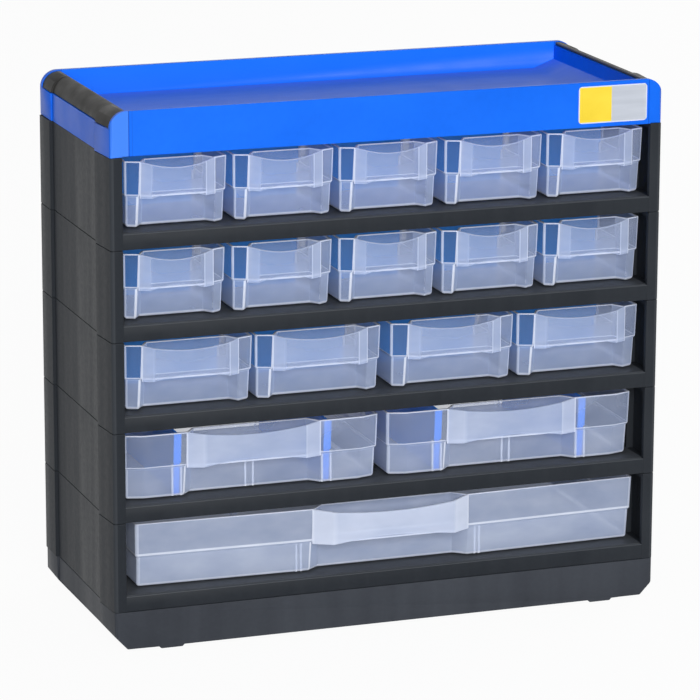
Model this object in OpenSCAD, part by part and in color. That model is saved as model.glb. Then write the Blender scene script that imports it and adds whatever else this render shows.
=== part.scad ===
// Parts bin cabinet: a stack of five moulded frames on a base, with a tray on top and
// seventeen clear drawers. X runs across the front, +Y to the back, +Z up. The origin is
// at the middle of the footprint, on the plane that the feet stand on. All sizes are in mm.

/* [Cabinet] */
// Width across the side panels
body_w = 305.5; // [285:0.5:340]
// Depth from the front face to the rear edge
body_d = 129; // [118:0.5:150]
// Height of one drawer layer
layer_h = 48.4; // [45:0.1:57]
// Thickness of the side panels
panel_t = 2.6; // [1.8:0.1:3.4]
// How far the corner posts stand out of the side panels
post_proud = 1.75; // [0.5:0.05:2.5]
// Depth of a front corner post
front_post_d = 23.3; // [18:0.1:30]
// Depth of a rear corner post
rear_post_d = 20.5; // [16:0.1:26]
// Width of a front pillar, seen from the front
pillar_w = 6.5; // [5.5:0.1:9]
// Thickness of the pillar flanges, front and rear
flange_t = 3; // [2:0.1:4]
// Thickness of the upright ribs behind the posts
post_rib_t = 2; // [1.2:0.1:3]
// Radius of the upright front corners
corner_r = 1.8; // [0.6:0.1:3]

/* [Shelves] */
// Height of the rail and of the shelf behind it above the layer's lower edge
rail_h = 8.6; // [7:0.1:11]
// Thickness of the front and rear rails
rail_t = 2.4; // [1.6:0.1:3.5]
// Thickness of the shelf
shelf_t = 2; // [1.4:0.1:3]
// Gap under the rail between the pillars
rail_lift = 0.2; // [0.1:0.1:1.2]
// Thickness of a guide rib between two drawers
guide_t = 1.2; // [0.8:0.1:1.6]
// Height of a guide rib above the shelf
guide_h = 2; // [1:0.1:3]
// Height of the stop lip along the shelf's rear edge
stop_h = 1.5; // [0.8:0.1:2.5]
// Number of stiffening ribs under a shelf
shelf_ribs = 3; // [1:1:5]

/* [Pegs] */
// Width of a locating peg
peg_w = 2.2; // [1.6:0.1:2.6]
// Length of a locating peg
peg_l = 6; // [4:0.1:9]
// Height of a locating peg
peg_h = 2.4; // [1.5:0.1:3.5]
// Clearance round a peg in its socket
peg_gap = 0.2; // [0.1:0.05:0.3]

/* [Base] */
// Height of the base above its feet
base_h = 20.4; // [18.5:0.1:26]
// Upright height of the base's sides above the chamfer
base_side_h = 13; // [9:0.1:15]
// Width of the chamfer along the base's sides
base_chamfer_w = 6.8; // [3:0.1:9]
// Thickness of the base's skirt
skirt_t = 2.4; // [1.6:0.1:3.5]
// Thickness of the base's deck
deck_t = 2; // [1.4:0.1:3]
// Height of a foot
foot_h = 1.3; // [1:0.1:3]
// Width of a foot at its top
foot_w = 14; // [10:0.5:20]
// Depth of a foot
foot_d = 12; // [8:0.5:18]
// Distance of a foot from the side panel's plane
foot_inset = 23.8; // [16:0.1:40]

/* [Tray] */
// Height of the top tray
tray_h = 24; // [22.5:0.1:30]
// Thickness of the tray's outer wall and front lip
tray_wall = 2.4; // [1.8:0.1:3]
// Thickness of the tray's rear lip
tray_rear_lip = 3; // [2:0.1:4]
// Thickness of the tray's inner end walls
tray_inner_t = 1.4; // [1:0.1:2]
// Height of the tray's floor above its lower edge
tray_floor_z = 9.5; // [8:0.1:11]
// Thickness of the tray's floor
tray_floor_t = 1.8; // [1.2:0.1:2.5]
// Radius of the tray's long upper edges
tray_r = 9.2; // [7:0.1:10]
// Width of the flat along the inner edge of a cap
cap_flat = 1; // [0.6:0.1:2]
// Depth of a cap below the tray's lips
cap_inset = 0.5; // [0.2:0.05:0.8]
// Wall of a cap
cap_t = 1.6; // [1.2:0.1:2]
// Clearance between a cap and the tray
cap_gap = 0.1; // [0.05:0.05:0.2]
// Width of the sloping end of the tray's floor
ramp_w = 12.4; // [6:0.1:20]
// Rise of the sloping end of the tray's floor
ramp_h = 4.5; // [2:0.1:6]
// How far the tray's front face lies behind the frames'
tray_setback = 0.35; // [0.2:0.05:0.6]
// How far the rear posts of the tray and the base lie inside the frames' posts
end_post_inset = 0.7; // [0.2:0.05:1]

/* [Label plate] */
// Width of the label plate
label_w = 39.2; // [25:0.1:50]
// Height of the label plate
label_h = 19.9; // [10:0.1:20.4]
// Thickness of the label plate
label_t = 0.3; // [0.2:0.05:0.35]
// Radius of the label plate's corners
label_r = 2; // [0.5:0.1:4]
// Distance of the label plate from the right side panel's plane
label_inset = 8.9; // [5:0.1:20]
// Height of the label plate's lower edge in the tray
label_z = 2; // [1:0.1:3]

/* [Drawers] */
// Distance of the drawer fronts behind the cabinet's front face
front_setback = 6.5; // [6.1:0.1:8]
// Space between a drawer's rear wall and the cabinet's rear edge
rear_space = 4; // [3:0.1:8]
// Space above a drawer, up to the layer's upper edge
top_space = 3.9; // [2:0.1:5]
// Wall of a drawer
drawer_t = 1.2; // [0.9:0.05:1.5]
// Height of a drawer's narrower lower band
lower_h = 17.4; // [12:0.1:19]
// How far the lower band lies inside the upper band
band_step = 1.2; // [0.8:0.05:1.6]
// Height of the two skids under a drawer
skid_h = 0.6; // [0.4:0.05:0.8]
// Width of a skid
skid_w = 1.6; // [1:0.1:2.5]
// Clearance between the skids and the shelf
glide_gap = 0.1; // [0.05:0.05:0.2]
// Clearance that a drawer keeps to the sides of its lane
side_gap = 0.3; // [0.2:0.05:0.5]
// Side play of a drawer in a row of five
play_5 = 3.5; // [2:0.1:4]
// Side play of a drawer in a row of four
play_4 = 3.4; // [2:0.1:4.5]
// Side play of a drawer in a row of two
play_2 = 5.7; // [2:0.1:8]
// Side play of the single drawer
play_1 = 10; // [4:0.1:12]

/* [Handles] */
// Width of the handle opening in a row of five
grip_5 = 40; // [34:0.5:42]
// Width of the handle opening in a row of four
grip_4 = 52.3; // [44:0.1:56]
// Width of the handle opening in a row of two
grip_2 = 73.6; // [60:0.1:80]
// Width of the handle opening of the single drawer
grip_1 = 88.3; // [70:0.1:110]
// Depth of the recess behind a handle
recess_d = 6.9; // [5:0.1:9]
// How far a handle stands out of the drawer front
handle_out = 2.5; // [1.5:0.1:4]
// How far the single drawer's handle stands out of its front
wide_handle_out = 5.7; // [3:0.1:6]
// Drop of a handle's upper edge at its bends
handle_drop = 1.3; // [0.5:0.1:2.5]
// Sag of a handle's upper edge in the middle
handle_sag = 2.2; // [1:0.1:4]
// Depth of a handle's lower edge under the ledge at its ends
handle_skirt = 1.5; // [0.5:0.1:3]
// Straight stretch of a handle's edges beside each bend
bend_flat = 1; // [0.5:0.1:2]
// Rise of a handle's lower edge in the middle
handle_arch = 2.3; // [1:0.1:2.5]
// How far the outer corners of the drawer fronts lie back
corner_back = 3.3; // [1:0.1:4]
// Width of the slanting corner of a drawer front in a row of two
corner_run = 9.5; // [5:0.1:16]

/* [Dividers] */
// Thickness of a divider
divider_t = 1.2; // [0.8:0.05:1.5]
// Clearance round a divider
divider_gap = 0.2; // [0.1:0.05:0.3]
// Place of a cross divider along the drawer, from its front
cross_at = 0.48; // [0.35:0.01:0.7]
// Place of a long divider across the drawer, from its side
long_at = 0.205; // [0.15:0.005:0.21]
// Place of the single drawer's empty divider slots across it, from its side
spare_slot_at = 0.32; // [0.26:0.01:0.34]
// Width of the flange on a long divider's front edge
divider_flange_w = 3.4; // [2.4:0.1:5]
// Thickness of a divider slot's ribs
slot_rib_t = 1; // [0.7:0.05:1.4]
// How far the slot ribs stand out of the drawer's wall
slot_rib_out = 1; // [0.6:0.05:1.4]

/* [Hidden] */
$fn = 48;
eps = 0.01;                         // overlap of faces that are joined
cut = 1;                            // how far a cutter runs past its face
ROWS = [5, 5, 4, 2, 1];             // drawers in each row, from the top
SIDES = [-1, 1];                    // left and right
SIDE_NAMES = ["left", "right"];
CROSS_ROWS = 3;                     // rows 1 to 3 have a cross divider in each drawer
LONG_ROW = 4;                       // row 4 has two long dividers in each drawer
LAST_ROW = len(ROWS);
// How far each drawer stands aside in its lane, from -1 for all the way left to 1 for all the way right
SHIFTS = [[1, 1, 0.73, 1, 1], [0.44, 0.6, 0.69, 0.33, 0.2], [0.51, -0.37, 0.82, 0.35], [-0.33, -0.49], [0.6]];

half_w = body_w / 2;
half_d = body_d / 2;
base_top = foot_h + base_h;
tray_z = base_top + LAST_ROW * layer_h;
overall_half_w = half_w + post_proud;
opening_half = half_w - pillar_w;
end_proud = post_proud - end_post_inset;
peg_x = half_w - (panel_t + pillar_w) / 2;
head_t = 3;                         // thickness of the plate that closes a post's top
peg_back = 4;                       // distance of a peg behind its pillar's flange
peg_y = flange_t + peg_back + peg_l / 2;
PEG_YS = [peg_y, body_d - peg_y];

drawer_z = rail_h + glide_gap + skid_h;                       // underside, in its layer
drawer_h = layer_h - top_space - drawer_z;
drawer_l = body_d - front_setback - rear_space;
upper_h = drawer_h - lower_h;
low_inset = band_step + drawer_t;                             // lower cavity inside the outline

cap_r = tray_r - cap_inset;
cap_z = tray_h - tray_r;                                      // lower edge of the caps
cap_top = tray_h - cap_inset;
tray_in = tray_r + cap_flat;                                  // inner face of an end wall
cap_y0 = tray_setback + tray_wall + cap_gap;
cap_y1 = body_d - tray_rear_lip - cap_gap;
shoulder_t = 2;                                               // plate under a cap

function layer_z(row) = base_top + (LAST_ROW - row) * layer_h;
function lane_w(row) = 2 * opening_half / ROWS[row - 1];
function lane_x(row, col) = -opening_half + (col - 0.5) * lane_w(row);
function play(row) = [play_5, play_5, play_4, play_2, play_1][row - 1];
function grip(row) = [grip_5, grip_5, grip_4, grip_2, grip_1][row - 1];
function recess_run(row) = [3.7, 3.7, 3.7, 5, 6.5][row - 1];
function facet_run(row) = [5.4, 5.4, 5.4, 8.5, 10][row - 1];
function handle_y(row) = row == LAST_ROW ? wide_handle_out : handle_out;
function drawer_w(row) = lane_w(row) - play(row);
function shift(row, col) = SHIFTS[row - 1][col - 1];
// A drawer beside a pillar stops with its rim there, and one beside a guide rib with its lower band
function beside_pillar(row, col) = col == (shift(row, col) < 0 ? 1 : ROWS[row - 1]);
function reach(row, col) = play(row) / 2 - side_gap + (beside_pillar(row, col) ? 0 : band_step - guide_t / 2);
function drawer_x(row, col) = lane_x(row, col) + shift(row, col) * reach(row, col);
function drawer_name(row, col) = str("drawer_", row, "_", col);
function cross_name(row, col) = str("divider_", row, "_", col);
function long_name(col, side) = str("divider_", LONG_ROW, "_", col, "_", SIDE_NAMES[side]);

// Outlines ----------------------------------------------------------------------------

// A list of points mirrored to the other side and run backwards
function mirrored(points) = [for (i = [len(points) - 1:-1:0]) [-points[i][0], points[i][1]]];

// Normal to the left of the way from a to b
function left_normal(a, b) = let (u = (b - a) / norm(b - a)) [-u[1], u[0]];

// A corner b moved inwards by t from both of its edges
function inner_corner(a, b, c, t) = let (n1 = left_normal(a, b), n2 = left_normal(b, c))
    b + t * (n1 + n2) / (1 + n1 * n2);

// An anticlockwise outline moved inwards by t
function inset(points, t) = let (n = len(points))
    [for (i = [0:n - 1]) inner_corner(points[(i + n - 1) % n], points[i], points[(i + 1) % n], t)];

// Round corner of the footprint at the left front, from the side to the front
function corner_arc(x, y, r) = [for (a = [180:22.5:270]) [x + r + r * cos(a), y + r + r * sin(a)]];

// Footprint of a layer: panels between corner posts that stand out by front and rear
function footprint(front, rear, setback = 0) = let (left = concat(
        [[-half_w - rear, body_d], [-half_w - rear, body_d - rear_post_d],
         [-half_w, body_d - rear_post_d], [-half_w, front_post_d],
         [-half_w - front, front_post_d]],
        corner_arc(-half_w, setback, corner_r)))
    concat(left, mirrored(left));

// Outline of a drawer's upper band, with the recess for its handle
function drawer_outline(row) = let (
        w = drawer_w(row) / 2, g = grip(row) / 2, section = w - g,
        bend = row == LONG_ROW && corner_run < section ? [[-w + corner_run, 0]] : [],
        front = concat([[-w, corner_back]], bend, [[-g, 0], [-g + recess_run(row), recess_d]]))
    concat(front, mirrored(front), [[w, drawer_l], [-w, drawer_l]]);

// Radius of the arc that sags by s over a chord c
function arc_r(c, s) = (c * c / 4 + s * s) / (2 * s);

// Shared shapes -----------------------------------------------------------------------

// A box from one corner to the opposite one
module span(low, high) {
    translate(low) cube(high - low);
}

// A flat outline in X and Z, run back along Y from y0 to y1
module along_y(y0, y1) {
    translate([0, y1, 0]) rotate([90, 0, 0]) linear_extrude(y1 - y0) children();
}

// The same shape on the left and on the right
module both_sides() {
    children();
    mirror([1, 0, 0]) children();
}

// Moves a layer's own coordinates, whose y starts at the front face, into the part's frame
module placed(z) {
    translate([0, -half_d, z]) children();
}

module pegs(z) {
    both_sides() for (y = PEG_YS)
        translate([-peg_x - peg_w / 2, y - peg_l / 2, z - eps]) cube([peg_w, peg_l, peg_h + eps]);
}

module sockets() {
    both_sides() for (y = PEG_YS)
        translate([-peg_x - peg_w / 2 - peg_gap, y - peg_l / 2 - peg_gap, -cut])
            cube([peg_w + 2 * peg_gap, peg_l + 2 * peg_gap, cut + peg_h + 2 * peg_gap]);
}

// Frames ------------------------------------------------------------------------------

// Opening for the drawers, the hollow side pockets and the hollow under the shelf
module frame_cavities() {
    span([-opening_half, -cut, rail_h], [opening_half, body_d + cut, layer_h + cut]);
    both_sides() {
        span([-half_w + panel_t, flange_t, rail_h], [-opening_half + cut, front_post_d, layer_h - head_t]);
        span([-half_w + panel_t, front_post_d + post_rib_t, rail_h],
             [-opening_half + cut, body_d - rear_post_d - post_rib_t, layer_h + cut]);
        span([-half_w + panel_t, body_d - rear_post_d, rail_h],
             [-opening_half + cut, body_d - flange_t, layer_h - head_t]);
    }
    span([-opening_half, rail_t, -cut], [opening_half, body_d - rail_t, rail_h - shelf_t]);
    span([-opening_half, -cut, -cut], [opening_half, rail_t + cut, rail_lift]);
}

module frame(row) {
    lane = lane_w(row);
    color([0.21, 0.23, 0.25]) placed(layer_z(row)) {
        difference() {
            linear_extrude(layer_h) polygon(footprint(post_proud, post_proud));
            frame_cavities();
            sockets();
        }
        pegs(layer_h);
        span([-opening_half - eps, body_d - rail_t, rail_h - eps], [opening_half + eps, body_d, rail_h + stop_h]);
        for (i = [1:1:ROWS[row - 1] - 1])
            span([lane_x(row, i) + lane / 2 - guide_t / 2, front_post_d, rail_h - eps],
                 [lane_x(row, i) + lane / 2 + guide_t / 2, body_d - rail_t + eps, rail_h + guide_h]);
        for (i = [1:shelf_ribs])
            translate([-opening_half + i * 2 * opening_half / (shelf_ribs + 1) - guide_t / 2, rail_t - eps, rail_lift])
                cube([guide_t, body_d - 2 * rail_t + 2 * eps, rail_h - shelf_t - rail_lift + eps]);
    }
}

// Base --------------------------------------------------------------------------------

// Front outline of the base with the chamfers along its sides, made smaller by t
module base_outline(t) {
    chamfer_h = base_h - base_side_h;
    low = foot_h + t;
    wide = overall_half_w - t;
    reach = half_w - base_chamfer_w - t;
    slope = chamfer_h / base_chamfer_w;
    left = [[-wide, base_top], [-wide, low + (wide - reach) * slope], [-reach, low]];
    polygon(concat(left, mirrored(left)));
}

// A foot in front view, with its ends sloping at 45 degrees over its height
module foot_profile() {
    polygon([[0, foot_h + eps], [foot_h, 0], [foot_w - foot_h, 0], [foot_w, foot_h + eps]]);
}

module base() {
    color([0.21, 0.23, 0.25]) placed(0) {
        difference() {
            intersection() {
                linear_extrude(base_top) polygon(footprint(post_proud, end_proud));
                along_y(0, body_d) base_outline(0);
            }
            along_y(skirt_t, body_d - skirt_t) intersection() {
                base_outline(skirt_t);
                translate([-half_w + skirt_t, 0]) square([body_w - 2 * skirt_t, base_top - deck_t]);
            }
            span([-half_w + base_chamfer_w + skirt_t, skirt_t, 0],
                 [half_w - base_chamfer_w - skirt_t, body_d - skirt_t, base_top - deck_t]);
        }
        pegs(base_top);
        both_sides() for (y = [0, body_d - foot_d])
            translate([-half_w + foot_inset, 0, 0]) along_y(y, y + foot_d) foot_profile();
    }
}

// Top tray ----------------------------------------------------------------------------

// Left upper corner in front view: a quarter circle of radius r that meets the side at x
module corner_profile(x, r, right) {
    c = [x + tray_r, cap_z];
    intersection() {
        translate(c) circle(r);
        translate([c[0] - r, c[1]]) square([r, r]);
    }
    translate([c[0] - eps, c[1]]) square([max(eps, right - c[0] + eps), r]);
}

// Front outline of the tray for posts that stand out by proud
module tray_outline(proud) {
    side = half_w + proud;
    translate([-side, 0]) square([2 * side, cap_z]);
    translate([tray_r - side, 0]) square([2 * (side - tray_r), tray_h]);
    for (s = SIDES)
        translate([s * (side - tray_r), cap_z]) circle(tray_r);
}

module tray_shell() {
    y_rear = body_d - rear_post_d;
    intersection() {
        linear_extrude(tray_h) polygon(footprint(post_proud, end_proud, tray_setback));
        union() {
            along_y(0, front_post_d) translate([-overall_half_w, 0]) square([2 * overall_half_w, cap_z]);
            along_y(0, body_d) tray_outline(0);
            along_y(y_rear, body_d) tray_outline(end_proud);
        }
    }
}

module tray_cavities() {
    block_l = PEG_YS[0] + peg_l / 2 + panel_t;
    span([-half_w + tray_in, tray_setback + tray_wall, tray_floor_z],
         [half_w - tray_in, body_d - tray_rear_lip, tray_h + cut]);
    span([-half_w + tray_in, tray_setback + tray_wall, -cut],
         [half_w - tray_in, body_d - tray_rear_lip, tray_floor_z - tray_floor_t]);
    span([-opening_half, -cut, -cut], [opening_half, tray_setback + tray_wall + cut, rail_lift]);
    both_sides() {
        span([-half_w + tray_wall, block_l, -cut],
             [-half_w + tray_in - tray_inner_t, body_d - block_l, cap_z - shoulder_t]);
        span([-overall_half_w - cut, tray_setback + tray_wall, cap_z],
             [-half_w + tray_in - tray_inner_t, body_d - tray_rear_lip, tray_h + cut]);
        span([-overall_half_w - cut, tray_setback + tray_wall, cap_top - cap_t - cap_gap],
             [-half_w + tray_in + eps, body_d - tray_rear_lip, tray_h + cut]);
    }
}

module top_tray() {
    color([0.1, 0.36, 0.93]) placed(tray_z) {
        difference() {
            tray_shell();
            tray_cavities();
            sockets();
        }
        both_sides() along_y(tray_setback + tray_wall - eps, body_d - tray_rear_lip + eps)
            translate([-half_w + tray_in - eps, tray_floor_z - eps])
                polygon([[0, 0], [ramp_w, 0], [0, ramp_h]]);
    }
}

// The left cap: a hollow quarter-round bar that lies between the tray's lips
module cap() {
    right = -half_w + tray_in;
    y_rear = body_d - rear_post_d;
    slice = 0.05;
    placed(tray_z) difference() {
        union() {
            along_y(cap_y0, cap_y1) corner_profile(-half_w, cap_r, right);
            along_y(y_rear, cap_y1) corner_profile(-half_w - end_proud, cap_r, right);
            hull() {
                along_y(cap_y0, cap_y0 + slice) corner_profile(-half_w, cap_r, right, $fn = 32);
                along_y(front_post_d - slice, front_post_d)
                    corner_profile(-half_w - post_proud, cap_r, right, $fn = 32);
            }
        }
        along_y(cap_y0 + cap_t, cap_y1 - cap_t) translate([0, -eps])
            corner_profile(-half_w, cap_r - cap_t, right + cut);
        span([-half_w + tray_in - tray_inner_t - cap_gap, cap_y0 - cut, cap_z - cut],
             [right + cut, cap_y1 + cut, cap_top - cap_t]);
    }
}

module tray_cap_left() {
    color([0.14, 0.14, 0.13]) cap();
}

module tray_cap_right() {
    color([0.14, 0.14, 0.13]) mirror([1, 0, 0]) cap();
}

module label_plate() {
    low = [half_w - label_inset - label_w, label_z];
    color([0.93, 0.78, 0.1]) placed(tray_z)
        along_y(tray_setback - label_t, tray_setback) translate(low) {
            translate([label_r, 0]) square([label_w - 2 * label_r, label_h]);
            translate([0, label_r]) square([label_w, label_h - 2 * label_r]);
            for (x = [label_r, label_w - label_r], z = [label_r, label_h - label_r])
                translate([x, z]) circle(label_r);
        }
}

// Drawers -----------------------------------------------------------------------------

// Moves a drawer's own coordinates (middle of its width, front plane, underside) into place
module in_lane(row, col) {
    translate([drawer_x(row, col), front_setback - half_d, layer_z(row) + drawer_z]) children();
}

// The two bands of a drawer, hollowed out
module drawer_shell(row) {
    outline = drawer_outline(row);
    difference() {
        union() {
            linear_extrude(lower_h + eps) polygon(inset(outline, band_step));
            translate([0, 0, lower_h]) linear_extrude(upper_h) polygon(outline);
        }
        translate([0, 0, drawer_t]) linear_extrude(drawer_h) polygon(inset(outline, low_inset));
        translate([0, 0, lower_h + drawer_t]) linear_extrude(drawer_h) polygon(inset(outline, drawer_t));
    }
}

// Front view of a handle plate: its upper edge sags and its lower edge arches
module handle_profile(row) {
    g = grip(row) / 2;
    b = g - facet_run(row);
    chord = 2 * (b - bend_flat);
    low = lower_h - handle_skirt;
    high = drawer_h - handle_drop;
    left = [[-g, drawer_h], [-g, low]];
    difference() {
        polygon(concat([[-b, high]], left, mirrored(left), [[b, high]]));
        translate([0, high + arc_r(chord, handle_sag) - handle_sag])
            circle(arc_r(chord, handle_sag), $fn = 180);
        translate([0, low - arc_r(chord, handle_arch) + handle_arch])
            circle(arc_r(chord, handle_arch), $fn = 180);
    }
}

// The plate in front of the recess, and the web that joins it to the recess wall
module handle(row) {
    g = grip(row) / 2;
    out = handle_y(row);
    front = [[-g, 0], [-g + facet_run(row), -out], [g - facet_run(row), -out], [g, 0]];
    back = [for (i = [3:-1:0]) front[i] + [0, drawer_t]];
    intersection() {
        linear_extrude(drawer_h) polygon(concat(front, back));
        along_y(-out - cut, recess_d) handle_profile(row);
    }
    translate([0, 0, lower_h]) linear_extrude(drawer_t) polygon(concat(
        [for (p = front) p + [0, drawer_t / 2]],
        [[g - recess_run(row), recess_d + drawer_t / 2], [-g + recess_run(row), recess_d + drawer_t / 2]]));
}

// A pair of upright ribs that hold the edge of a divider of thickness t, at x or y = 0
module slot_ribs(t) {
    for (s = SIDES)
        translate([s * (t / 2 + divider_gap + slot_rib_t / 2) - slot_rib_t / 2, 0, 0])
            cube([slot_rib_t, slot_rib_out + eps, lower_h]);
}

// Slots for the dividers, in the lower band
module slots(row) {
    w = drawer_w(row);
    if (row <= CROSS_ROWS) both_sides()
        translate([-w / 2 + low_inset - eps, cross_at * drawer_l, 0])
            rotate([0, 0, -90]) slot_ribs(divider_t);
    if (row >= LONG_ROW) both_sides() {
        x = (row == LONG_ROW ? long_at : spare_slot_at) * w - w / 2;
        translate([x, low_inset - eps, 0]) slot_ribs(divider_flange_w);
        translate([x, drawer_l - low_inset + eps, 0]) mirror([0, 1, 0]) slot_ribs(divider_t);
    }
}

module drawer(row, col) {
    w = drawer_w(row);
    color([0.86, 0.9, 0.96, 0.65]) in_lane(row, col) {
        drawer_shell(row);
        handle(row);
        slots(row);
        for (x = [-w / 2 + w / 6, w / 2 - w / 6])
            span([x - skid_w / 2, recess_d + low_inset, -skid_h],
                 [x + skid_w / 2, drawer_l - low_inset, eps]);
    }
}

// Dividers ----------------------------------------------------------------------------

// A plate that fills both bands between u0 and u1, which are the upper cavity's edges
module divider_profile(u0, u1) {
    g = divider_gap;
    z0 = drawer_t;
    z1 = lower_h + drawer_t + g;
    translate([u0 + band_step + g, z0]) square([u1 - u0 - 2 * band_step - 2 * g, z1 - z0 + eps]);
    translate([u0 + g, z1]) square([u1 - u0 - 2 * g, drawer_h - g - z1]);
}

module cross_divider(row, col) {
    u = drawer_w(row) / 2 - drawer_t;
    y = cross_at * drawer_l;
    color([0.16, 0.42, 0.95]) in_lane(row, col)
        along_y(y - divider_t / 2, y + divider_t / 2) divider_profile(-u, u);
}

module long_divider(col, side) {
    w = drawer_w(LONG_ROW);
    x = SIDES[side] * (w / 2 - long_at * w);
    y0 = low_inset + divider_gap;
    color([0.16, 0.42, 0.95]) in_lane(LONG_ROW, col) translate([x, 0, 0]) {
        rotate([90, 0, 90]) translate([0, 0, -divider_t / 2])
            linear_extrude(divider_t) divider_profile(drawer_t, drawer_l - drawer_t);
        span([-divider_flange_w / 2, y0, drawer_t], [divider_flange_w / 2, y0 + divider_t, drawer_h - divider_gap]);
    }
}

// Parts -------------------------------------------------------------------------------

base();
for (row = [1:LAST_ROW])
    frame(row);
top_tray();
tray_cap_left();
tray_cap_right();
label_plate();
for (row = [1:LAST_ROW], col = [1:ROWS[row - 1]])
    drawer(row, col);
for (row = [1:CROSS_ROWS], col = [1:ROWS[row - 1]])
    cross_divider(row, col);
for (col = [1:ROWS[LONG_ROW - 1]], side = [0, 1])
    long_divider(col, side);
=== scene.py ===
"""Looks of the parts bin cabinet: its finish, the moulded drawers and their dividers, and the studio."""

from math import atan2, cos, pi, radians, sin, tan

import bmesh
import bpy
from mathutils import Matrix, Vector


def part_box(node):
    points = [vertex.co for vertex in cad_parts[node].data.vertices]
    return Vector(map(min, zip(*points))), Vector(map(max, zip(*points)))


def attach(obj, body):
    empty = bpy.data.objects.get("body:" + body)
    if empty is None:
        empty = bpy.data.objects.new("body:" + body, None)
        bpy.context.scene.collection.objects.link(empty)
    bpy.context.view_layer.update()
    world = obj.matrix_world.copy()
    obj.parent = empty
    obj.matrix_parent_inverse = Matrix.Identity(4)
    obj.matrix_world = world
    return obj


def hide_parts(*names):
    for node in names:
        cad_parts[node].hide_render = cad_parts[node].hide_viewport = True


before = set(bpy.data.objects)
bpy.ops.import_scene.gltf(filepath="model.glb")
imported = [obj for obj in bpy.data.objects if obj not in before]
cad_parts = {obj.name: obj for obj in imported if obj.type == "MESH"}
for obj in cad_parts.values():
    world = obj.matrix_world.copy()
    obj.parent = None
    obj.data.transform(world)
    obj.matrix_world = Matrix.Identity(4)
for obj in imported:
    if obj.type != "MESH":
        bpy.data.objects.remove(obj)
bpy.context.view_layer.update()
MM = 0.001

# Camera: where it stands in mm, how it is turned in radians, and its lens
CAMERA_AT = (-708.7, -1980.1, 664.3)
CAMERA_YAW = -0.3437
CAMERA_PITCH = 0.2461
CAMERA_ROLL = 0.0034
CAMERA_LENS = 205.7
SENSOR = 36.0

# Rows of drawers, from the top
ROWS = (5, 5, 4, 2, 1)
CROSS_ROWS = 3
LONG_ROW = 4
LAST_ROW = 5

# Drawer, in mm, as in the part
WALL = 1.2
LOWER_H = 17.4
SKID_H = 0.6
SKID_W = 1.6
GRIP = (40.0, 40.0, 52.3, 73.6, 88.3)
RECESS_RUN = (3.7, 3.7, 3.7, 5.0, 6.5)
FACET_RUN = (5.4, 5.4, 5.4, 8.5, 10.0)
HANDLE_OUT = (2.5, 2.5, 2.5, 2.5, 5.7)
RECESS_D = 6.9
CORNER_BACK = 3.3
CORNER_RUN = 9.5
HANDLE_DROP = 1.3
HANDLE_SAG = 2.2
HANDLE_SKIRT = 1.5
HANDLE_ARCH = 2.3
CROSS_AT = 0.48
LONG_AT = 0.205
DIVIDER_T = 1.2
DIVIDER_GAP = 0.2
GROOVE_LEFT = 0.35      # what is left of the wall where a divider's edge stands in it
FLANGE_W = 3.4
FLANGE_TOP = 4.2        # the flange above the ledge, where no ribs hold it
DIVIDER_LOW = 0.15      # gap between a divider and the drawer's floor
DIVIDER_TOP = 0.5       # how far its upper edge stays below the rim
DIVIDER_BEND = (0.3, 0.4)   # where its edge bends over the ledge, and how high this bend is
EDGE_R = 0.25           # rounding of its edges
FLANGE_R = 0.2          # and of a long divider's flange
# Drawer, what the moulding adds: how far the sides and the front draw in below the rim
RIM = (0.0, 0.0)
OVER_LEDGE = (0.3, 1.1)
UNDER_LEDGE = (1.1, 2.0)
FOOT = (1.35, 3.4)
CORNER_LEAN = 0.85      # share of the front's draft that its outer corners have
LEDGE_H = 1.2           # height of the slope between the bands
LEDGE_R = 0.15          # rounding of the ledge's edges
LEDGE_DROP = 0.2        # height of its rounded upper edge
LEDGE_BAND = (0.2, 0.2, 0.2, 0.2, 0.9)  # height of the pale line over the ledge, partly haze and partly painted highlight, in rows 1 to 5
BOTTOM_R = 1.9          # rounding of the bottom edges
RIM_R = 0.35            # rounding of the rim
RIM_RETURN = 1.0        # how far the rim's inner edge comes down
LINE_W = 0.35           # width over which the paler line beside an edge fades
SECTION_R = 1.3         # upright outer corners of a narrow drawer's front
WIDE_R = 1.6            # upright outer corners of a wide drawer's front
BEND_R = 6.0            # soft bends in a wide drawer's front
INNER_R = 1.0           # upright corners of the recess
RECESS_IN = 0.7         # how far these stand in from the handle's ends at the rim
RECESS_LEAN = 1.1       # and how much they lean outwards below it, as a share of the sides' draft
RECESS_DRAFT = 0.5      # share of the front's draft that the recess's back has
HANDLE_R = 0.3          # rounding of the handle's edges
HANDLE_LAP = 0.3        # how far the handle's ends reach over the recess's edges
HANDLE_END = 0.4        # how far inside these edges the paler strip at the ends starts
FACET_STEPS = 8         # faces along a facet of the handle
PLATE_STEPS = 24        # and along its plate
WEB_EDGE = (-0.3, 0.6)  # front edge of the handle's web, below and above the ledge
WEB_SET = 0.2           # how far this lies inside the handle's plate
WEB_LIFT = 0.1          # height of the web above the ledge
WEB_BAND = 0.5          # width of the paler line along its edge
WEB_FRONT = 1.0         # where it starts at the handle's ends
WEB_BACK = 0.6          # how far it runs under the recess's back
REAR_R = 3.0            # upright rear corners
RIB_T = 1.0             # ribs of the divider slots
RIB_SET = 0.2           # how far they stay inside a wall's outer face
RIB_SET_FRONT = 0.3     # the same at the front
RIB_SET_UPPER = 0.4     # and in the upper band
RIB_LOW = 0.4           # their lower end above the floor
RIB_TOP = 1.0           # and their upper end below the rim
WIDE_SLOT = 0.18        # place of the single drawer's slots, as a share of its width
BARS_AT = (-2.6, 1.6)   # left sides of the two bars behind a handle of row 4
SKID_ENDS = (4, 6)      # the skids' distance from the recess and from the rear wall
SKID_GAP = 0.02         # and from the floor over them
HAIR = 0.05             # smallest step that keeps two places apart
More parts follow.
